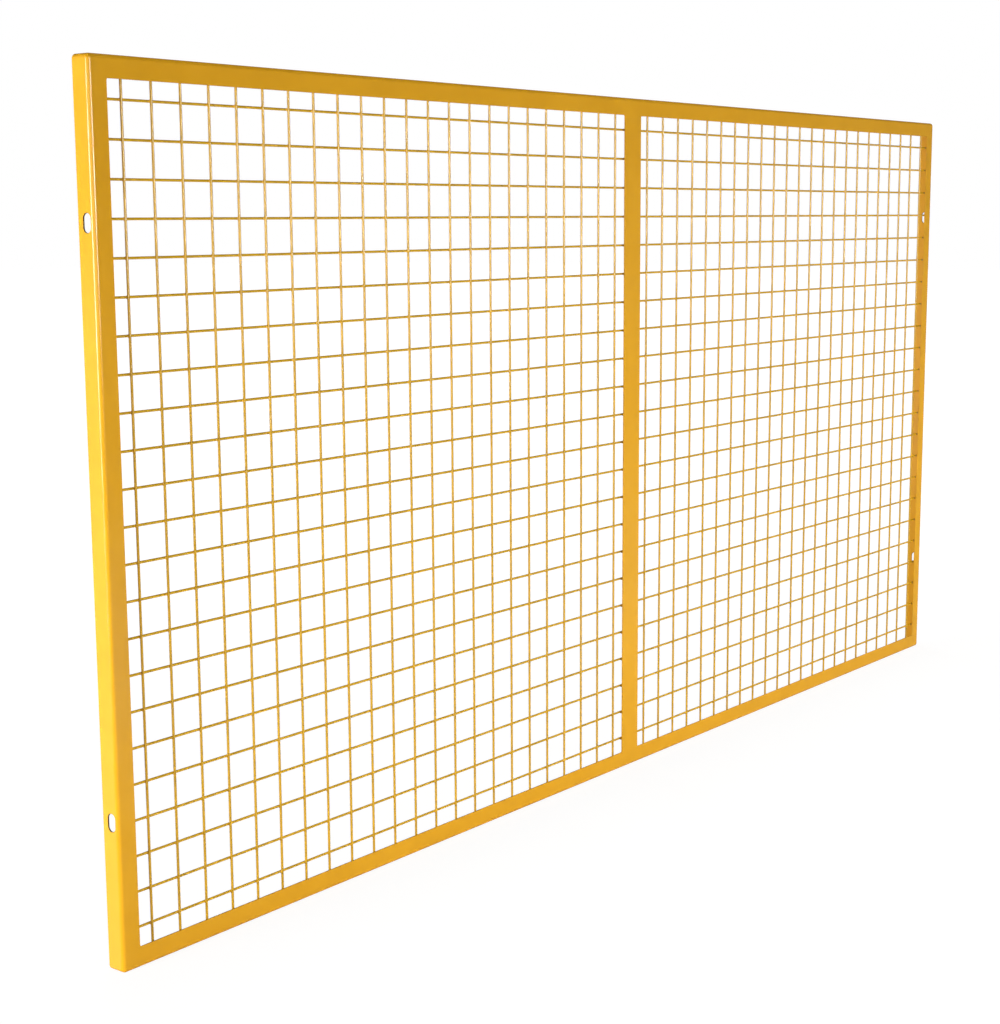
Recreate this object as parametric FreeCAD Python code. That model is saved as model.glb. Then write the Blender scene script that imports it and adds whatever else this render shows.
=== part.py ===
"""Rack backing panel: an upright frame of cold-formed angle with a flat centre bar and a welded wire mesh.

The panel stands in the XZ plane with its front towards -Y. The origin is on the outer face of the left
stile, halfway up, on the line through its two bolt slots. All sizes are in millimetres.
"""
import FreeCAD, Part
import os

from FreeCAD import Vector

# Frame: four lengths of angle, mitred and welded at the corners
OVERALL_WIDTH = 2410.0
OVERALL_HEIGHT = 1210.0
FACE_LEG = 30.0            # leg of the angle that faces the front, measured from the outer side
SIDE_LEG = 30.0            # leg of the angle that runs back from the front
WALL = 2.0                 # sheet thickness of the angle and of the centre bar
BEND_RADIUS = 4.0          # outside radius of the angle's bend

# Centre bar: a flat bar butted between the rails, flush with their front
CENTRE_BAR_WIDTH = 50.0

# Bolt slots in the side legs of both stiles
SLOT_WIDTH = 14.0
SLOT_LENGTH = 25.0
SLOT_FROM_FRONT = 13.0     # from the front of the panel to the middle of a slot
SLOT_FROM_END = 210.0      # from the end of the stile to the middle of a slot

# Mesh: upright wires against the back of the frame, level wires welded behind them
MESH_PITCH = 50.0          # from wire to wire, both ways
WIRE = 3.5                 # thickness of a wire
MESH_LAP = 12.0            # how far the sheet reaches behind the frame on every side
MESH_LENGTHS = 3           # lengths that the sheet is kept in, side by side

# Sizes that follow from the ones above
FRONT = -SLOT_FROM_FRONT
MIDDLE = OVERALL_WIDTH / 2
HALF_HEIGHT = OVERALL_HEIGHT / 2
WINDOW_WIDTH = OVERALL_WIDTH - 2 * FACE_LEG
WINDOW_HEIGHT = OVERALL_HEIGHT - 2 * FACE_LEG
UPRIGHTS_FRONT = FRONT + WALL
LEVELS_FRONT = UPRIGHTS_FRONT + WIRE
SAME_PLACE = 1e-6          # places closer than this are one place


def upright_block(width, height, front, depth):
    """A block centred on the middle of the panel, from the given front backwards."""
    corner = Vector(MIDDLE - width / 2, front, -height / 2)
    return Part.makeBox(width, depth, height, corner)


def edges_at_front(shape, front):
    """The edges that lie in the plane of the given front."""
    return [edge for edge in shape.Edges if edge.BoundBox.YMax < front + SAME_PLACE]


def bent_block(inset):
    """The form that lies the given distance inside the frame's outer skin, open towards the back."""
    front = FRONT + inset
    block = upright_block(OVERALL_WIDTH - 2 * inset, OVERALL_HEIGHT - 2 * inset, front, SIDE_LEG)
    return block.makeFillet(BEND_RADIUS - inset, edges_at_front(block, front))


def frame_ring():
    """The whole frame before it is parted at the mitres: a thin tray with its window cut out."""
    back_trim = upright_block(2 * OVERALL_WIDTH, 2 * OVERALL_HEIGHT, FRONT + SIDE_LEG, SIDE_LEG)
    window = upright_block(WINDOW_WIDTH, WINDOW_HEIGHT, FRONT, WALL)
    return bent_block(0.0).cut(bent_block(WALL)).cut(window).cut(back_trim)


def prism(outline, front, depth):
    """A block with an outline of (x, z) points, from the given front backwards."""
    points = [Vector(x, front, z) for x, z in outline]
    face = Part.Face(Part.makePolygon(points + points[:1]))
    return face.extrude(Vector(0, depth, 0))


def mitred_lengths(ring):
    """Parts the ring at its four corners into two rails and two stiles."""
    reach = min(WINDOW_WIDTH, WINDOW_HEIGHT) / 4 + FACE_LEG
    corners = {(sx, sz): (MIDDLE + sx * MIDDLE, sz * HALF_HEIGHT) for sx in (-1, 1) for sz in (-1, 1)}
    inner = {key: (x - key[0] * reach, z - key[1] * reach) for key, (x, z) in corners.items()}
    sides = {
        "top_rail": ((-1, 1), (1, 1)),
        "bottom_rail": ((1, -1), (-1, -1)),
        "left_stile": ((-1, -1), (-1, 1)),
        "right_stile": ((1, 1), (1, -1)),
    }
    lengths = {}
    for name, (start, end) in sides.items():
        outline = [corners[start], corners[end], inner[end], inner[start]]
        lengths[name] = ring.common(prism(outline, FRONT, SIDE_LEG))
    return lengths


def bolt_slot(x, z):
    """A cutter for one upright slot through a side leg near the given x, centred on the slots' line."""
    half_straight = (SLOT_LENGTH - SLOT_WIDTH) / 2
    radius = SLOT_WIDTH / 2
    start = x - FACE_LEG / 2
    top = Vector(start, 0, z + half_straight)
    bottom = Vector(start, 0, z - half_straight)
    side = Vector(0, radius, 0)
    cap = Vector(0, 0, radius)
    outline = Part.Wire([
        Part.LineSegment(bottom + side, top + side).toShape(),
        Part.Arc(top + side, top + cap, top - side).toShape(),
        Part.LineSegment(top - side, bottom - side).toShape(),
        Part.Arc(bottom - side, bottom - cap, bottom + side).toShape(),
    ])
    return Part.Face(outline).extrude(Vector(FACE_LEG, 0, 0))


def slotted(stile, x):
    """The stile whose outer face is at x, with its two bolt slots."""
    slot_height = HALF_HEIGHT - SLOT_FROM_END
    return stile.cut([bolt_slot(x, slot_height), bolt_slot(x, -slot_height)])


def centre_bar():
    """The flat bar between the rails."""
    return upright_block(CENTRE_BAR_WIDTH, WINDOW_HEIGHT, FRONT, WALL)


def wire_places(sheet_size):
    """Places of the wires across a sheet of that size, counted outwards from its middle."""
    reach = int((sheet_size / 2 - WIRE) // MESH_PITCH)
    return [index * MESH_PITCH for index in range(-reach, reach + 1)]


def mesh_lengths():
    """The mesh sheet, in lengths that meet halfway between two upright wires."""
    sheet_width = WINDOW_WIDTH + 2 * MESH_LAP
    sheet_height = WINDOW_HEIGHT + 2 * MESH_LAP
    uprights = [MIDDLE + x for x in wire_places(sheet_width)]
    levels = wire_places(sheet_height)
    breaks = [round(len(uprights) * index / MESH_LENGTHS) for index in range(MESH_LENGTHS + 1)]
    ends = [MIDDLE - sheet_width / 2]
    ends += [uprights[index] - MESH_PITCH / 2 for index in breaks[1:-1]]
    ends.append(MIDDLE + sheet_width / 2)
    lengths = []
    for index in range(MESH_LENGTHS):
        left, right = ends[index], ends[index + 1]
        standing = [
            Part.makeBox(WIRE, WIRE, sheet_height, Vector(x - WIRE / 2, UPRIGHTS_FRONT, -sheet_height / 2))
            for x in uprights[breaks[index]:breaks[index + 1]]
        ]
        lying = [
            Part.makeBox(right - left, WIRE, WIRE, Vector(left, LEVELS_FRONT, z - WIRE / 2))
            for z in levels
        ]
        lengths.append(Part.makeCompound(standing).fuse(Part.makeCompound(lying)).removeSplitter())
    return lengths


def main():
    nodes = mitred_lengths(frame_ring())
    nodes["left_stile"] = slotted(nodes["left_stile"], 0.0)
    nodes["right_stile"] = slotted(nodes["right_stile"], OVERALL_WIDTH)
    nodes["centre_bar"] = centre_bar()
    for name, length in zip(("left_mesh", "middle_mesh", "right_mesh"), mesh_lengths()):
        nodes[name] = length
    os.makedirs("parts", exist_ok=True)
    for name, shape in nodes.items():
        shape.exportStep("parts/" + name + ".step")
        print(name, "solids", len(shape.Solids), "valid", shape.isValid(), "volume", round(shape.Volume, 1))


main()
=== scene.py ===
"""Looks of the rack backing panel.

A powder-coated frame of steel angle with a flat centre bar, and a welded wire mesh behind it.
"""
import math

import bmesh
import bpy
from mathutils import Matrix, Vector


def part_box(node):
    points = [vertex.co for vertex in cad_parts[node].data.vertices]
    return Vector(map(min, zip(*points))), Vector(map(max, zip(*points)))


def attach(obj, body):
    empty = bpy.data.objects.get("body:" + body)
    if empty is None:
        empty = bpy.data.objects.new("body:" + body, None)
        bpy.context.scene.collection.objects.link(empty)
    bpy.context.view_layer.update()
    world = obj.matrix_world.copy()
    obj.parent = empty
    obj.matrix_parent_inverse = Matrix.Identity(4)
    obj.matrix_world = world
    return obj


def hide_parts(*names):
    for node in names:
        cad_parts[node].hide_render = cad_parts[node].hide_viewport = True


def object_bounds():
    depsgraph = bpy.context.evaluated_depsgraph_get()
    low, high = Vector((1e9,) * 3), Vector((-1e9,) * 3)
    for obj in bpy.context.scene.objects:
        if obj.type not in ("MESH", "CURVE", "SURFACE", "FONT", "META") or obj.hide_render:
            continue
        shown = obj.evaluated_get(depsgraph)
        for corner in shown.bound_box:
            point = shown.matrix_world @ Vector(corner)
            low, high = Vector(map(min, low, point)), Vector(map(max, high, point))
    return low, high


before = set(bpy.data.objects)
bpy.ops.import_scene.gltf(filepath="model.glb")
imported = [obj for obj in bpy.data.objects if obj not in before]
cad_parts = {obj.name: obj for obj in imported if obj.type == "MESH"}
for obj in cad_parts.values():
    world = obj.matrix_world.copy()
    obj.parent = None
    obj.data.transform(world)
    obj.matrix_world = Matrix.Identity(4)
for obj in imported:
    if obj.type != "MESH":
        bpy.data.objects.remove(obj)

cad_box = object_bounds()

# Frame, in metres, taken from the solids where they have the size
MM = 0.001
(LEFT, FRONT, BOTTOM), (RIGHT, BACK, TOP) = cad_box
MIDDLE = (LEFT + RIGHT) / 2
DEPTH = BACK - FRONT
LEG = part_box("left_stile")[1].x - LEFT
BAR_LEFT, BAR_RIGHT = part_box("centre_bar")[0].x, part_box("centre_bar")[1].x
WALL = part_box("centre_bar")[1].y - FRONT
WINDOW_TOP = TOP - LEG
LEG_BACK = FRONT + WALL
BEND = 6 * MM               # outside radius of the angle's bend
CORNER = 6.5 * MM           # ground outside corners of the frame
WINDOW_CORNER = 3 * MM      # weld left in the window's corners
SHEARED_EDGE = 0.6 * MM     # sheared edges, rounded by the coat

# Bolt slots in the side legs of both stiles
SLOT_WIDTH = 14 * MM
SLOT_LENGTH = 25 * MM
SLOT_HEIGHT = TOP - 210 * MM
SLOT_SIDES = 40             # flats round the slot's cutter

# Wire mesh
PITCH = 50 * MM
WIRE = (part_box("left_mesh")[1].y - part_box("left_mesh")[0].y) / 2
COAT = 0.1 * MM             # powder coat all round a wire
WIRE_END = 0.3 * MM         # chamfer on a wire's sheared end
UPRIGHT_Y = LEG_BACK + WIRE / 2
LEVEL_Y = UPRIGHT_Y + WIRE
MESH_LEFT, MESH_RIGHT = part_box("left_mesh")[0].x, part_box("right_mesh")[1].x
MESH_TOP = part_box("left_mesh")[1].z
UPRIGHTS = 47
LEVELS = 23
FIRST_UPRIGHT = MIDDLE - PITCH * (UPRIGHTS - 1) / 2
LOWEST_LEVEL = -PITCH * (LEVELS - 1) / 2

# Welds
TACK_HALF = (3.4 * MM, 2.1 * MM, 3.0 * MM)   # half width, half height and half depth of a tack
TACK_SEAT = 1.6 * MM        # from a tack's middle forward to the leg that it sits on
TACK_LAP = 2.2 * MM         # from the edge of a leg in to the middle of a tack
PILLOW_CORNER = 0.28        # share of a resistance weld's width that its corners are rounded by
PILLOW_EDGE = 0.3           # share of its height that its edges are rounded by
RIPPLE = 3.2 * MM           # length of one ripple of an arc weld
RIPPLE_SWELL = 1.14         # how much a ripple stands out
FADED_END = 0.5             # how thin an arc weld runs out
LEG_BEAD = 2.2 * MM         # radius of the arc welds in the corners between the side legs
FLAT_BEAD = 2.4 * MM        # radius of the arc welds on the back of the front legs
FLATTENED = 0.5             # share of that radius that those stand off the leg
BAR_WELD = 18 * MM          # length of an arc weld at the centre bar's ends
BAR_WELD_OUT = 14 * MM      # from the middle of the centre bar out to such a weld

# Angles past which an edge is drawn sharp
FRAME_CREASE = math.radians(40)
WIRE_CREASE = math.radians(28)
WELD_CREASE = math.radians(60)

TO_WHITE_WALL = (-0.63, 0.7766, 0)   # the way to the wall that the left side mirrors


def start(name, add, scale=(1, 1, 1), **settings):
    """Adds one primitive, alone in the selection, with its size and place in its mesh."""
    bpy.ops.object.select_all(action="DESELECT")
    add(**settings)
    piece = bpy.context.object
    piece.name = piece.data.name = name
    piece.scale = scale
    bpy.ops.object.transform_apply(location=True, rotation=True, scale=True)
    return piece


def activate(*pieces):
    """Selects these pieces alone, the first one as the active piece."""
    bpy.ops.object.select_all(action="DESELECT")
    for piece in pieces:
        piece.select_set(True)
    bpy.context.view_layer.objects.active = pieces[0]


def choose(kind, test):
    """Selects, in edit mode, the vertices, edges or faces whose corner places pass the test."""
    bpy.ops.mesh.select_mode(type=kind)
    bpy.ops.mesh.select_all(action="DESELECT")
    mesh = bmesh.from_edit_mesh(bpy.context.edit_object.data)
    for part in {"VERT": mesh.verts, "EDGE": mesh.edges, "FACE": mesh.faces}[kind]:
        corners = [part] if kind == "VERT" else part.verts
        part.select_set(test([corner.co for corner in corners]))
    bmesh.update_edit_mesh(bpy.context.edit_object.data)


def finish_with(piece, kind, **settings):
    """Adds a modifier with its settings and applies it."""
    activate(piece)
    modifier = piece.modifiers.new(kind.lower(), kind)
    for setting, value in settings.items():
        setattr(modifier, setting, value)
    bpy.ops.object.modifier_apply(modifier=modifier.name)


def cut(piece, cutter):
    """Cuts the cutter's shape out of the piece and clears the cutter away."""
    finish_with(piece, "BOOLEAN", operation="DIFFERENCE", solver="EXACT", object=cutter)
    bpy.data.objects.remove(cutter)


def repeat(piece, count, step):
    """Joins that many copies of the piece in a row."""
    finish_with(
        piece, "ARRAY", count=count, use_relative_offset=False, use_constant_offset=True,
        constant_offset_displace=step,
    )


def placed_copy(piece, name, place, turn=(0, 0, 0)):
    """A copy of a piece that was modelled at the origin, turned and put in its place."""
    activate(piece)
    bpy.ops.object.duplicate()
    copy = bpy.context.object
    copy.name = copy.data.name = name
    copy.location = place
    copy.rotation_euler = turn
    bpy.ops.object.transform_apply(location=True, rotation=True, scale=True)
    return copy


def join(name, pieces):
    """Joins pieces into one mesh with that name."""
    activate(*pieces)
    bpy.ops.object.join()
    pieces[0].name = pieces[0].data.name = name
    return pieces[0]


def window_cutter(left, right):
    """One bay of the window, with the small radius that the welds leave in its corners."""
    cutter = start(
        "bay", bpy.ops.mesh.primitive_cube_add, size=1, location=((left + right) / 2, FRONT, 0),
        scale=(right - left, 4 * WALL, 2 * WINDOW_TOP),
    )
    bpy.ops.object.mode_set(mode="EDIT")
    choose("EDGE", lambda ends: abs(ends[0].y - ends[1].y) > WALL)
    bpy.ops.mesh.bevel(offset=WINDOW_CORNER, segments=5, affect="EDGES")
    bpy.ops.object.mode_set(mode="OBJECT")
    return cutter


def slot_cutter(x, z):
    """One upright bolt slot: a round rod pulled long."""
    cutter = start(
        "slot", bpy.ops.mesh.primitive_cylinder_add, vertices=SLOT_SIDES, radius=SLOT_WIDTH / 2,
        depth=LEG, location=(x, 0, z), rotation=(math.pi / SLOT_SIDES, math.pi / 2, 0),
    )
    bpy.ops.object.mode_set(mode="EDIT")
    for side in (-1, 1):
        choose("VERT", lambda place: (place[0].z - z) * side > 0)
        bpy.ops.transform.translate(value=(0, 0, side * (SLOT_LENGTH - SLOT_WIDTH) / 2))
    bpy.ops.object.mode_set(mode="OBJECT")
    return cutter


def bent_and_pierced_sheet():
    """The frame and the centre bar in one: a tray of sheet with two windows and four slots."""
    sheet = start(
        "sheet", bpy.ops.mesh.primitive_plane_add, size=1, location=(MIDDLE, FRONT, 0),
        rotation=(math.pi / 2, 0, 0), scale=(RIGHT - LEFT, TOP - BOTTOM, 1),
    )
    bpy.ops.object.mode_set(mode="EDIT")
    bpy.ops.mesh.select_all(action="SELECT")
    bpy.ops.mesh.bevel(offset=CORNER, segments=8, affect="VERTICES")
    choose("EDGE", lambda ends: True)
    bpy.ops.mesh.extrude_edges_move(TRANSFORM_OT_translate={"value": (0, DEPTH, 0)})
    choose("EDGE", lambda ends: max(end.y for end in ends) < FRONT + MM)
    bpy.ops.mesh.bevel(offset=BEND, segments=8, affect="EDGES")
    bpy.ops.mesh.select_all(action="SELECT")
    bpy.ops.mesh.normals_make_consistent(inside=False)
    bpy.ops.object.mode_set(mode="OBJECT")
    finish_with(sheet, "SOLIDIFY", thickness=WALL, offset=-1, use_even_offset=True)
    cut(sheet, window_cutter(LEFT + LEG, BAR_LEFT))
    cut(sheet, window_cutter(BAR_RIGHT, RIGHT - LEG))
    for x in (LEFT, RIGHT):
        for z in (-SLOT_HEIGHT, SLOT_HEIGHT):
            cut(sheet, slot_cutter(x, z))
    finish_with(
        sheet, "BEVEL", width=SHEARED_EDGE, segments=2, limit_method="ANGLE",
        angle_limit=FRAME_CREASE, use_clamp_overlap=False,
    )
    return sheet


def parted(sheet, name, cuts):
    """One length cut from a copy of the sheet: each cut is a point and the way that is cut away."""
    length = placed_copy(sheet, name, (0, 0, 0))
    bpy.ops.object.mode_set(mode="EDIT")
    for point, away in cuts:
        bpy.ops.mesh.select_all(action="SELECT")
        bpy.ops.mesh.bisect(plane_co=point, plane_no=away, use_fill=True, clear_outer=True)
    bpy.ops.object.mode_set(mode="OBJECT")
    bpy.ops.object.shade_smooth_by_angle(angle=FRAME_CREASE)
    finish_with(length, "WEIGHTED_NORMAL", keep_sharp=True, weight=80)
    return length


def frame_lengths():
    """The four mitred angles and the centre bar."""
    sheet = bent_and_pierced_sheet()
    sides = {-1: LEFT, 1: RIGHT}
    corners = {(x, z): Vector((sides[x], 0, TOP * z)) for x in (-1, 1) for z in (-1, 1)}
    lengths = {}
    for name, z in (("top_angle", 1), ("bottom_angle", -1)):
        inwards = Vector((0, 0, -z))
        half_way = (Vector((0, 0, 0)), inwards)
        mitres = [(corners[x, z], Vector((x, 0, -z))) for x in (-1, 1)]
        flush = (Vector((0, 0, z * WINDOW_TOP)), inwards)
        lengths[name] = parted(sheet, name, [half_way] + mitres + [flush])
    for name, x in (("left_angle", -1), ("right_angle", 1)):
        mitres = [(corners[x, z], Vector((-x, 0, z))) for z in (-1, 1)]
        lengths[name] = parted(sheet, name, mitres)
    ends = [(Vector((0, 0, z * WINDOW_TOP)), Vector((0, 0, z))) for z in (-1, 1)]
    beside = [(Vector((MIDDLE + x * LEG, 0, 0)), Vector((x, 0, 0))) for x in (-1, 1)]
    lengths["centre_flat"] = parted(sheet, "centre_flat", ends + beside)
    bpy.data.objects.remove(sheet)
    return lengths


def in_a_slot(corners):
    """Whether a face belongs to the cut wall of a bolt slot."""
    across = max(corner.x for corner in corners) - min(corner.x for corner in corners)
    reach_y = SLOT_WIDTH / 2 + SHEARED_EDGE + COAT
    reach_z = SLOT_LENGTH / 2 + SHEARED_EDGE + COAT
    return across > 0.05 * MM and all(
        abs(corner.y) < reach_y and abs(abs(corner.z) - SLOT_HEIGHT) < reach_z
        for corner in corners
    )


def coat_faces(piece, coat, test):
    """Gives the faces that pass the test a coat of their own."""
    piece.data.materials.append(coat)
    piece.active_material_index = len(piece.data.materials) - 1
    activate(piece)
    bpy.ops.object.mode_set(mode="EDIT")
    choose("FACE", test)
    bpy.ops.object.material_slot_assign()
    bpy.ops.object.mode_set(mode="OBJECT")


def wires(name, length, place, turn, count, step):
    """A row of straight drawn wires with sheared ends."""
    row = start(
        name, bpy.ops.mesh.primitive_cylinder_add, vertices=14, radius=WIRE / 2 + COAT,
        depth=length, location=place, rotation=turn,
    )
    bpy.ops.object.mode_set(mode="EDIT")
    along = 0 if turn[1] else 2
    choose("EDGE", lambda ends: abs(ends[0][along] - ends[1][along]) < MM)
    bpy.ops.mesh.bevel(offset=WIRE_END, segments=1, affect="EDGES")
    bpy.ops.object.mode_set(mode="OBJECT")
    bpy.ops.object.shade_smooth_by_angle(angle=WIRE_CREASE)
    repeat(row, count, step)
    return row


def weld_pillow(name, size, place):
    """Metal squeezed out by a resistance weld: a low pillow with rounded sides."""
    pillow = start(name, bpy.ops.mesh.primitive_cube_add, size=1, location=place, scale=size)
    bpy.ops.object.mode_set(mode="EDIT")
    choose("EDGE", lambda ends: abs(ends[0].y - ends[1].y) > size[1] / 2)
    bpy.ops.mesh.bevel(offset=min(size[0], size[2]) * PILLOW_CORNER, segments=1, affect="EDGES")
    choose("EDGE", lambda ends: abs(ends[0].y - ends[1].y) < size[1] / 2)
    bpy.ops.mesh.bevel(offset=size[1] * PILLOW_EDGE, segments=1, affect="EDGES")
    bpy.ops.object.mode_set(mode="OBJECT")
    bpy.ops.object.shade_smooth_by_angle(angle=WELD_CREASE)
    return pillow


def crossing_welds():
    """The resistance welds at every crossing of two wires."""
    size = (1.4 * WIRE, 0.5 * WIRE, 1.4 * WIRE)
    place = (FIRST_UPRIGHT, (UPRIGHT_Y + LEVEL_Y) / 2, LOWEST_LEVEL)
    pillow = weld_pillow("crossing_welds", size, place)
    repeat(pillow, UPRIGHTS, (PITCH, 0, 0))
    repeat(pillow, LEVELS, (0, 0, PITCH))
    return pillow


def rail_welds():
    """The resistance welds between the upright wires' ends and the rails."""
    height = (MESH_TOP + WINDOW_TOP) / 2
    size = (1.5 * WIRE, 0.4 * WIRE, 2 * WIRE)
    pillow = weld_pillow("rail_welds", size, (FIRST_UPRIGHT, LEG_BACK + 0.4 * MM, -height))
    repeat(pillow, UPRIGHTS, (PITCH, 0, 0))
    repeat(pillow, 2, (0, 0, 2 * height))
    return pillow


def level_tacks():
    """Small tack welds that bridge from the level wires to the stiles and the centre bar."""
    bead = start(
        "level_tack", bpy.ops.mesh.primitive_uv_sphere_add, segments=12, ring_count=7, radius=1,
        rotation=(math.pi / 2, 0, 0), scale=TACK_HALF,
    )
    bpy.ops.object.mode_set(mode="EDIT")
    bpy.ops.mesh.select_all(action="SELECT")
    bpy.ops.mesh.bisect(
        plane_co=(0, -TACK_SEAT, 0), plane_no=(0, -1, 0), use_fill=True, clear_outer=True
    )
    choose("VERT", lambda place: place[0].y > 1.5 * MM)
    bpy.ops.transform.resize(value=(1.25, 1, 0.7), center_override=(0, 0, 0))
    bpy.ops.object.mode_set(mode="OBJECT")
    bpy.ops.object.shade_smooth_by_angle(angle=WELD_CREASE)
    columns = [
        LEFT + LEG - TACK_LAP, BAR_LEFT + TACK_LAP, BAR_RIGHT - TACK_LAP, RIGHT - LEG + TACK_LAP
    ]
    places = [(x, LEG_BACK + TACK_SEAT, LOWEST_LEVEL) for x in columns]
    tacks = join("level_tacks", [placed_copy(bead, "tack", place) for place in places])
    bpy.data.objects.remove(bead)
    repeat(tacks, LEVELS, (0, 0, PITCH))
    return tacks


def weld_bead(length, radius, flat):
    """A run of arc weld at the origin, along Z: ripples with faded ends, flattened across Y."""
    rings = 2 * round(length / RIPPLE) - 1
    bead = start(
        "bead", bpy.ops.mesh.primitive_cylinder_add, vertices=12, radius=radius, depth=length
    )
    bpy.ops.object.mode_set(mode="EDIT")
    choose("EDGE", lambda ends: abs(ends[0].z - ends[1].z) > length / 2)
    bpy.ops.mesh.subdivide(number_cuts=rings)
    step = length / (rings + 1)
    choose("VERT", lambda place: round(place[0].z / step + (rings + 1) / 2) % 2 == 1)
    bpy.ops.transform.resize(value=(RIPPLE_SWELL, RIPPLE_SWELL, 1), center_override=(0, 0, 0))
    choose("VERT", lambda place: abs(place[0].z) > length / 2 - step / 2)
    bpy.ops.transform.resize(value=(FADED_END, FADED_END, 1), center_override=(0, 0, 0))
    bpy.ops.mesh.select_all(action="SELECT")
    bpy.ops.transform.resize(value=(1, flat, 1), center_override=(0, 0, 0))
    bpy.ops.object.mode_set(mode="OBJECT")
    finish_with(bead, "SUBSURF", levels=1, render_levels=1)
    bpy.ops.object.shade_smooth_by_angle(angle=WELD_CREASE)
    return bead


def frame_welds():
    """Arc welds on the back of the frame: at the four mitres and at the centre bar's ends."""
    welds = []
    leg_bead = weld_bead(DEPTH - WALL - 4 * MM, LEG_BEAD, 1)
    mitre_bead = weld_bead((LEG - WALL) * math.sqrt(2) - 8 * MM, FLAT_BEAD, FLATTENED)
    bar_bead = weld_bead(BAR_WELD, FLAT_BEAD, FLATTENED)
    in_corner = WALL + 3 * MM
    on_mitre = (LEG + WALL) / 2
    behind = LEG_BACK + 0.1 * MM
    for x, side in ((-1, LEFT), (1, RIGHT)):
        for z in (-1, 1):
            place = (side - x * in_corner, (LEG_BACK + BACK) / 2, z * (TOP - in_corner))
            welds.append(placed_copy(leg_bead, "leg_weld", place, (math.pi / 2, 0, 0)))
            place = (side - x * on_mitre, behind, z * (TOP - on_mitre))
            turn = (0, x * z * math.pi / 4, 0)
            welds.append(placed_copy(mitre_bead, "mitre_weld", place, turn))
            place = (MIDDLE + x * BAR_WELD_OUT, behind, z * WINDOW_TOP)
            welds.append(placed_copy(bar_bead, "bar_weld", place, (0, math.pi / 2, 0)))
    for bead in (leg_bead, mitre_bead, bar_bead):
        bpy.data.objects.remove(bead)
    return join("frame_welds", welds)


def linear(hex_colour):
    """An sRGB hex value as linear red, green, blue and alpha."""
    parts = [int(hex_colour[at:at + 2], 16) / 255 for at in (1, 3, 5)]
    return (*(p / 12.92 if p <= 0.04045 else ((p + 0.055) / 1.055) ** 2.4 for p in parts), 1.0)


def node(tree, kind, inputs=None, links=None, **settings):
    """Adds one node with its settings, its input values and its links from other nodes' outputs."""
    made = tree.nodes.new("ShaderNode" + kind)
    for setting, value in settings.items():
        setattr(made, setting, value)
    for socket, value in (inputs or {}).items():
        made.inputs[socket].default_value = value
    for socket, (source, output) in (links or {}).items():
        tree.links.new(source.outputs[output], made.inputs[socket])
    return made


def new_material(name):
    """A material with an empty node tree, and that tree."""
    material = bpy.data.materials.new(name)
    material.use_nodes = True
    material.node_tree.nodes.clear()
    return material, material.node_tree


def powder_coat(name, thin, full, peel_mm, relief_mm, rough, shine):
    """Polyester powder coat, cured to a film: an even colour that is a little deeper where the film
    is thin, a soft orange peel in its reflections and a few dust nibs."""
    material, tree = new_material(name)
    place = node(tree, "TexCoord")
    on_piece = {"Vector": (place, "Object")}
    # The film's thickness drifts over about 70 mm
    film = node(tree, "TexNoise", {"Scale": 1 / (70 * MM), "Detail": 2.0}, on_piece)
    spread = node(tree, "MapRange", {1: 0.35, 2: 0.65}, {0: (film, 0)})
    colour = node(
        tree, "Mix", {6: linear(thin), 7: linear(full)}, {0: (spread, 0)}, data_type="RGBA"
    )
    # Dust nibs about 1 mm wide, about 55 mm apart
    nibs = node(tree, "TexVoronoi", {"Scale": 1 / (55 * MM)}, on_piece)
    nib = node(tree, "MapRange", {1: 0.006, 2: 0.012, 3: 0.55, 4: 0.0}, {0: (nibs, "Distance")})
    nibbed = node(
        tree, "Mix", {7: linear("#7A5A1C")}, {0: (nib, 0), 6: (colour, 2)}, data_type="RGBA"
    )
    # The gloss is a little uneven over about 16 mm
    haze = node(tree, "TexNoise", {"Scale": 1 / (16 * MM), "Detail": 2.0}, on_piece)
    dulled = node(
        tree, "MapRange", {1: 0.3, 2: 0.7, 3: rough - 0.03, 4: rough + 0.03}, {0: (haze, 0)}
    )
    peel = node(tree, "TexNoise", {"Scale": 1 / (peel_mm * MM), "Detail": 1.0}, on_piece)
    relief = node(
        tree, "Bump", {"Strength": 0.25, "Distance": relief_mm * MM}, {"Height": (peel, 0)}
    )
    shader = node(
        tree, "BsdfPrincipled", {"IOR": 1.5, "Specular IOR Level": shine},
        {"Base Color": (nibbed, 2), "Roughness": (dulled, 0), "Normal": (relief, 0)},
    )
    node(tree, "OutputMaterial", links={"Surface": (shader, 0)})
    return material


def seen_directly(tree, bright):
    """Two nodes: 1 for rays from the camera, gloss and glass, and how white such rays find it."""
    path = node(tree, "LightPath")
    gloss = node(
        tree, "Math", links={0: (path, "Is Glossy Ray"), 1: (path, "Is Transmission Ray")},
        operation="MAXIMUM",
    )
    camera_ray = (path, "Is Camera Ray")
    direct = node(tree, "Math", links={0: (gloss, 0), 1: camera_ray}, operation="MAXIMUM")
    shown = node(tree, "Math", links={0: (gloss, 0), 1: (bright, 0)}, operation="MULTIPLY")
    white = node(tree, "Math", links={0: (shown, 0), 1: camera_ray}, operation="MAXIMUM")
    return direct, white


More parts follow.
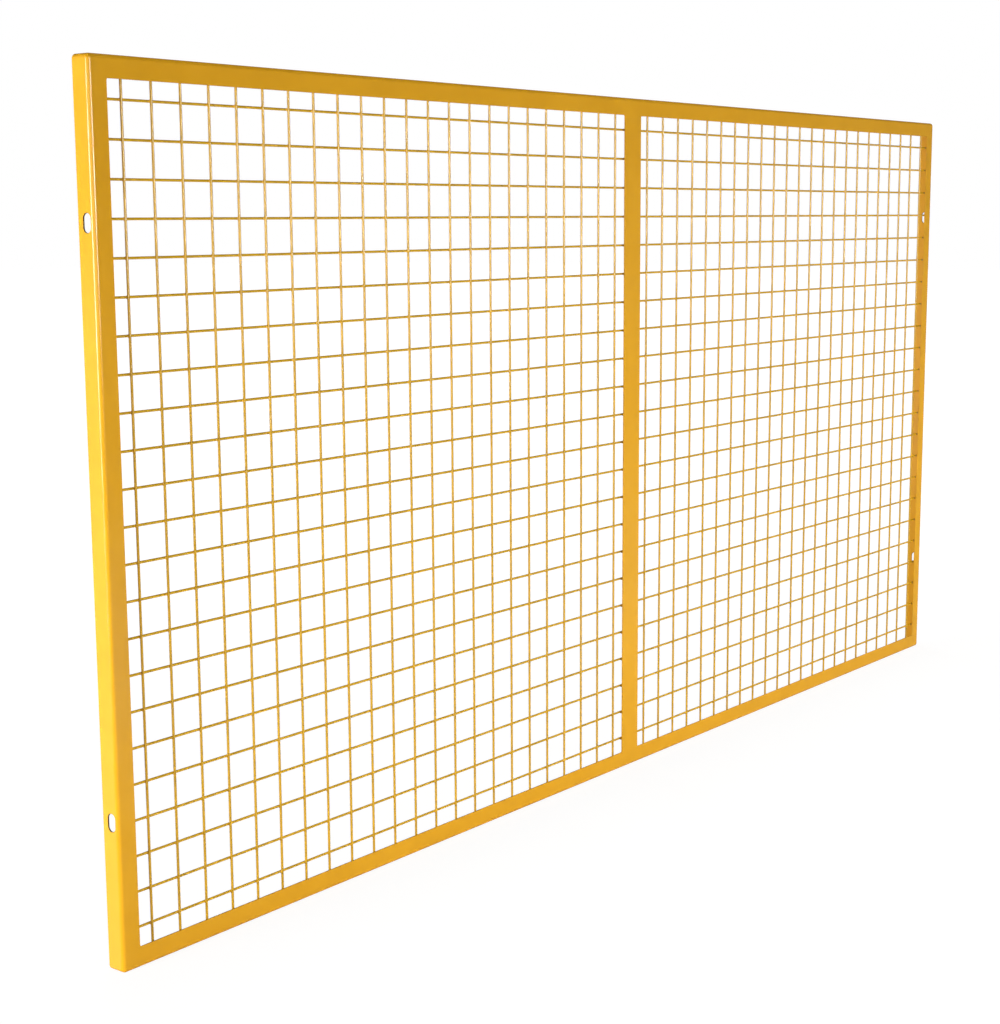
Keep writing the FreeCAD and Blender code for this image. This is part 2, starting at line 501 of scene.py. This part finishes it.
def white_floor():
    """Matt white paper: it shows the shadow round the object and is plain white elsewhere."""
    floor = start(
        "floor", bpy.ops.mesh.primitive_plane_add, size=60, location=(MIDDLE, 0, BOTTOM)
    )
    material, tree = new_material("Matt white background paper")
    paper = node(tree, "BsdfDiffuse", {"Color": linear("#F2F2F0")})
    place = node(tree, "TexCoord")
    on_floor = {"Vector": (place, "Object")}
    # From the shadowed paper near the panel's foot to plain white further out
    centred = node(tree, "Mapping", {"Location": (-MIDDLE, 0, 0)}, on_floor)
    stretched = node(
        tree, "VectorMath", {1: (0.6, 1, 0)}, {0: (centred, 0)}, operation="MULTIPLY"
    )
    away = node(tree, "VectorMath", links={0: (stretched, 0)}, operation="LENGTH")
    plain = node(tree, "MapRange", {1: 0.8, 2: 1.8, 3: 0.86, 4: 1.0}, {0: (away, "Value")})
    # In reflections the floor is white towards the white wall and dim elsewhere
    flat = node(tree, "VectorMath", {1: (1, 1, 0)}, {0: (place, "Object")}, operation="MULTIPLY")
    outwards = node(tree, "VectorMath", links={0: (flat, 0)}, operation="NORMALIZE")
    to_wall = node(
        tree, "VectorMath", {1: TO_WHITE_WALL}, {0: (outwards, 0)}, operation="DOT_PRODUCT"
    )
    bright = node(tree, "MapRange", {1: 0.7, 2: 0.9, 3: 0.2, 4: 1.0}, {0: (to_wall, "Value")})
    direct, white = seen_directly(tree, bright)
    shine = node(tree, "Math", {1: 1.07}, {0: (white, 0)}, operation="MULTIPLY")
    glow = node(tree, "Emission", {"Color": (1, 1, 1, 1)}, {"Strength": (shine, 0)})
    share = node(tree, "Math", links={0: (direct, 0), 1: (plain, 0)}, operation="MULTIPLY")
    mixed = node(tree, "MixShader", links={0: (share, 0), 1: (paper, 0), 2: (glow, 0)})
    node(tree, "OutputMaterial", links={"Surface": (mixed, 0)})
    floor.data.materials.append(material)


def white_room(ambient):
    """The room: a white wall on the left behind the object, a dim ceiling and a soft even light."""
    world = bpy.data.worlds.new("White room")
    bpy.context.scene.world = world
    world.use_nodes = True
    tree = world.node_tree
    tree.nodes.clear()
    way = node(tree, "TexCoord")
    to_wall = node(
        tree, "VectorMath", {1: TO_WHITE_WALL}, {0: (way, "Generated")}, operation="DOT_PRODUCT"
    )
    wall = node(tree, "MapRange", {1: 0.7, 2: 0.9, 3: 0.22, 4: 0.8}, {0: (to_wall, "Value")})
    parts = node(tree, "SeparateXYZ", links={0: (way, "Generated")})
    below = node(tree, "MapRange", {1: 0.0, 2: 0.6, 3: 0.65, 4: 0.2}, {0: (parts, "Z")})
    lit_wall = node(tree, "Math", links={0: (wall, 0), 1: (below, 0)}, operation="MULTIPLY")
    direct, white = seen_directly(tree, lit_wall)
    soft = node(tree, "Math", {1: ambient}, {0: (below, 0)}, operation="MULTIPLY")
    strength = node(
        tree, "Mix", links={0: (direct, 0), 2: (soft, 0), 3: (white, 0)}, data_type="FLOAT"
    )
    light = node(tree, "Background", {"Color": (1, 1, 1, 1)}, {"Strength": (strength, 0)})
    node(tree, "OutputWorld", links={"Surface": (light, 0)})


def spared(piece):
    """A group of that piece alone, for softboxes to leave out."""
    group = bpy.data.collections.new("spared")
    group.objects.link(piece)
    group.collection_objects[0].light_linking.link_state = "EXCLUDE"
    return group


def softbox(name, place, aim, size, lit, watts, leave_out=None):
    """A rectangular area light that faces the aim and lights the matt colour or the gloss alone."""
    lamp = bpy.data.lights.new(name, "AREA")
    lamp.shape = "RECTANGLE"
    lamp.size, lamp.size_y = size
    lamp.energy = watts
    holder = bpy.data.objects.new(name, lamp)
    bpy.context.scene.collection.objects.link(holder)
    holder.location = place
    holder.rotation_euler = (Vector(aim) - Vector(place)).to_track_quat("-Z", "Y").to_euler()
    holder.visible_camera = False
    holder.visible_diffuse = lit == "colour"
    holder.visible_glossy = lit == "gloss"
    holder.light_linking.receiver_collection = leave_out


def camera():
    """The camera, at the photograph's viewing angle."""
    lens = bpy.data.cameras.new("camera")
    lens.sensor_width = 36
    lens.lens = 64.238
    holder = bpy.data.objects.new("camera", lens)
    bpy.context.scene.collection.objects.link(holder)
    holder.location = (-1.51147, -1.86054, 0.39687)
    holder.rotation_euler = [math.radians(angle) for angle in (80.89602, 0.33295, -51.67622)]
    bpy.context.scene.camera = holder


# An even, full golden yellow with clear, slightly rippled reflections along the bends
angle_coat = powder_coat(
    "Gloss powder coat on cold-formed angle", "#D69B14", "#DA9F18",
    peel_mm=2.6, relief_mm=0.03, rough=0.18, shine=0.5,
)
# Dark, dull slot walls: painted shade inside the bolt slots
slot_wall_shade_coat = powder_coat(
    "Dark powder coat on the slot walls, painted shade", "#35240C", "#4A3210",
    peel_mm=1.2, relief_mm=0.02, rough=0.4, shine=0.2,
)
# A smooth film on thin wire: a deeper gold with a fine line of light
level_coat = powder_coat(
    "Gloss powder coat on drawn wire", "#C79A11", "#CD9F15",
    peel_mm=1.6, relief_mm=0.008, rough=0.24, shine=0.6,
)
# The same film on the upright wires, glossier, and a little darker as painted shade: paler where
# the wire mirrors the room
upright_shaded_coat = powder_coat(
    "Thin gloss powder coat on drawn wire", "#C4960F", "#CA9B12",
    peel_mm=1.6, relief_mm=0.008, rough=0.2, shine=0.9,
)
# A brighter yellow spot where two wires meet: painted light over the shade between the wires
crossing_lightened_coat = powder_coat(
    "Gloss powder coat pooled at a wire crossing", "#E6AC16", "#F0B81E",
    peel_mm=1.2, relief_mm=0.01, rough=0.3, shine=0.6,
)
# Small brown, dull dots on the tack welds: painted shade where the level wires run behind the legs
# and the centre bar
tack_shade_coat = powder_coat(
    "Powder coat on the tack welds, darkened as painted shade", "#886010", "#A07216",
    peel_mm=1.2, relief_mm=0.03, rough=0.38, shine=0.2,
)

lengths = frame_lengths()
uprights = wires(
    "upright_wires", 2 * MESH_TOP, (FIRST_UPRIGHT, UPRIGHT_Y, 0), (0, 0, 0),
    UPRIGHTS, (PITCH, 0, 0),
)
levels = wires(
    "level_wires", MESH_RIGHT - MESH_LEFT, (MIDDLE, LEVEL_Y, LOWEST_LEVEL), (0, math.pi / 2, 0),
    LEVELS, (0, 0, PITCH),
)
meshes = ("left_mesh", "middle_mesh", "right_mesh")
dressed = [
    (lengths["top_angle"], angle_coat, "frame_coating", ("top_rail",)),
    (lengths["bottom_angle"], angle_coat, "frame_coating", ("bottom_rail",)),
    (lengths["left_angle"], angle_coat, "frame_coating", ("left_stile",)),
    (lengths["right_angle"], angle_coat, "frame_coating", ("right_stile",)),
    (lengths["centre_flat"], angle_coat, "frame_coating", ("centre_bar",)),
    (uprights, upright_shaded_coat, "mesh_coating", meshes),
    (levels, level_coat, "mesh_coating", meshes),
    (crossing_welds(), crossing_lightened_coat, "mesh_coating", ()),
    (rail_welds(), level_coat, "mesh_coating", ()),
    (level_tacks(), tack_shade_coat, "mesh_coating", ()),
    (frame_welds(), angle_coat, "frame_coating", ()),
]
for piece, coat, slot, nodes in dressed:
    piece.data.materials.clear()
    piece.data.materials.append(coat)
    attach(piece, "root")
    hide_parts(*nodes)
# The slot walls get the dark coat: painted shade inside the slots
for stile in (lengths["left_angle"], lengths["right_angle"]):
    coat_faces(stile, slot_wall_shade_coat, in_a_slot)

white_floor()
white_room(ambient=0.8)

# Softboxes: name, place, aim, size, what they light, watts, and pieces to leave out.
# The top rail's upper face would mirror the glints as one white wedge, so they spare it.
no_glint = spared(lengths["top_angle"])
softbox("front_strip", (0.8, -5.0, 0.47), (0.8, 0, 0.3), (0.9, 1.85), "colour", 72)
softbox("front_glint", (0.8, -5.0, 0.62), (0.8, 0, 0.62), (0.9, 0.9), "gloss", 95, no_glint)
softbox(
    "camera_side_glint", (-1.9, -2.35, 0.47), (0, 0, 0.47), (6.0, 0.76), "gloss", 22, no_glint
)
softbox("low_front_softbox", (1.5, -1.1, -0.49), (1.5, 0, -0.5), (3.2, 0.22), "colour", 13.4)
softbox("left_softbox", (-1.9, 0.2, -0.4), (0, 0, -0.4), (1.3, 0.38), "colour", 42)
softbox("left_strip", (-3.3, 0.3, 0.35), (0, 0, 0.3), (0.7, 1.2), "colour", 52)
softbox("left_glint", (-3.3, 0.3, 0.35), (0, 0, 0.3), (0.7, 1.2), "gloss", 135, no_glint)
softbox("right_end_softbox", (1.9, 0.35, -0.1), (2.4, 0, -0.1), (0.2, 0.8), "colour", 0.6)
softbox("right_softbox", (5.0, 0.3, 0.1), (2.4, 0, 0), (1.2, 1.0), "colour", 16)
softbox("right_front_softbox", (3.2, -2.0, 0.3), (2.4, 0, 0.5), (0.6, 0.6), "colour", 5)
softbox("back_softbox", (3.4, 4.0, 0.6), (1.2, 0, 0.0), (2.4, 1.2), "colour", 95)
softbox("top_softbox", (1.2, 0.5, 3.0), (1.2, 0.05, 0.6), (2.6, 0.6), "colour", 30)
camera()
bpy.context.scene.view_settings.view_transform = "Standard"
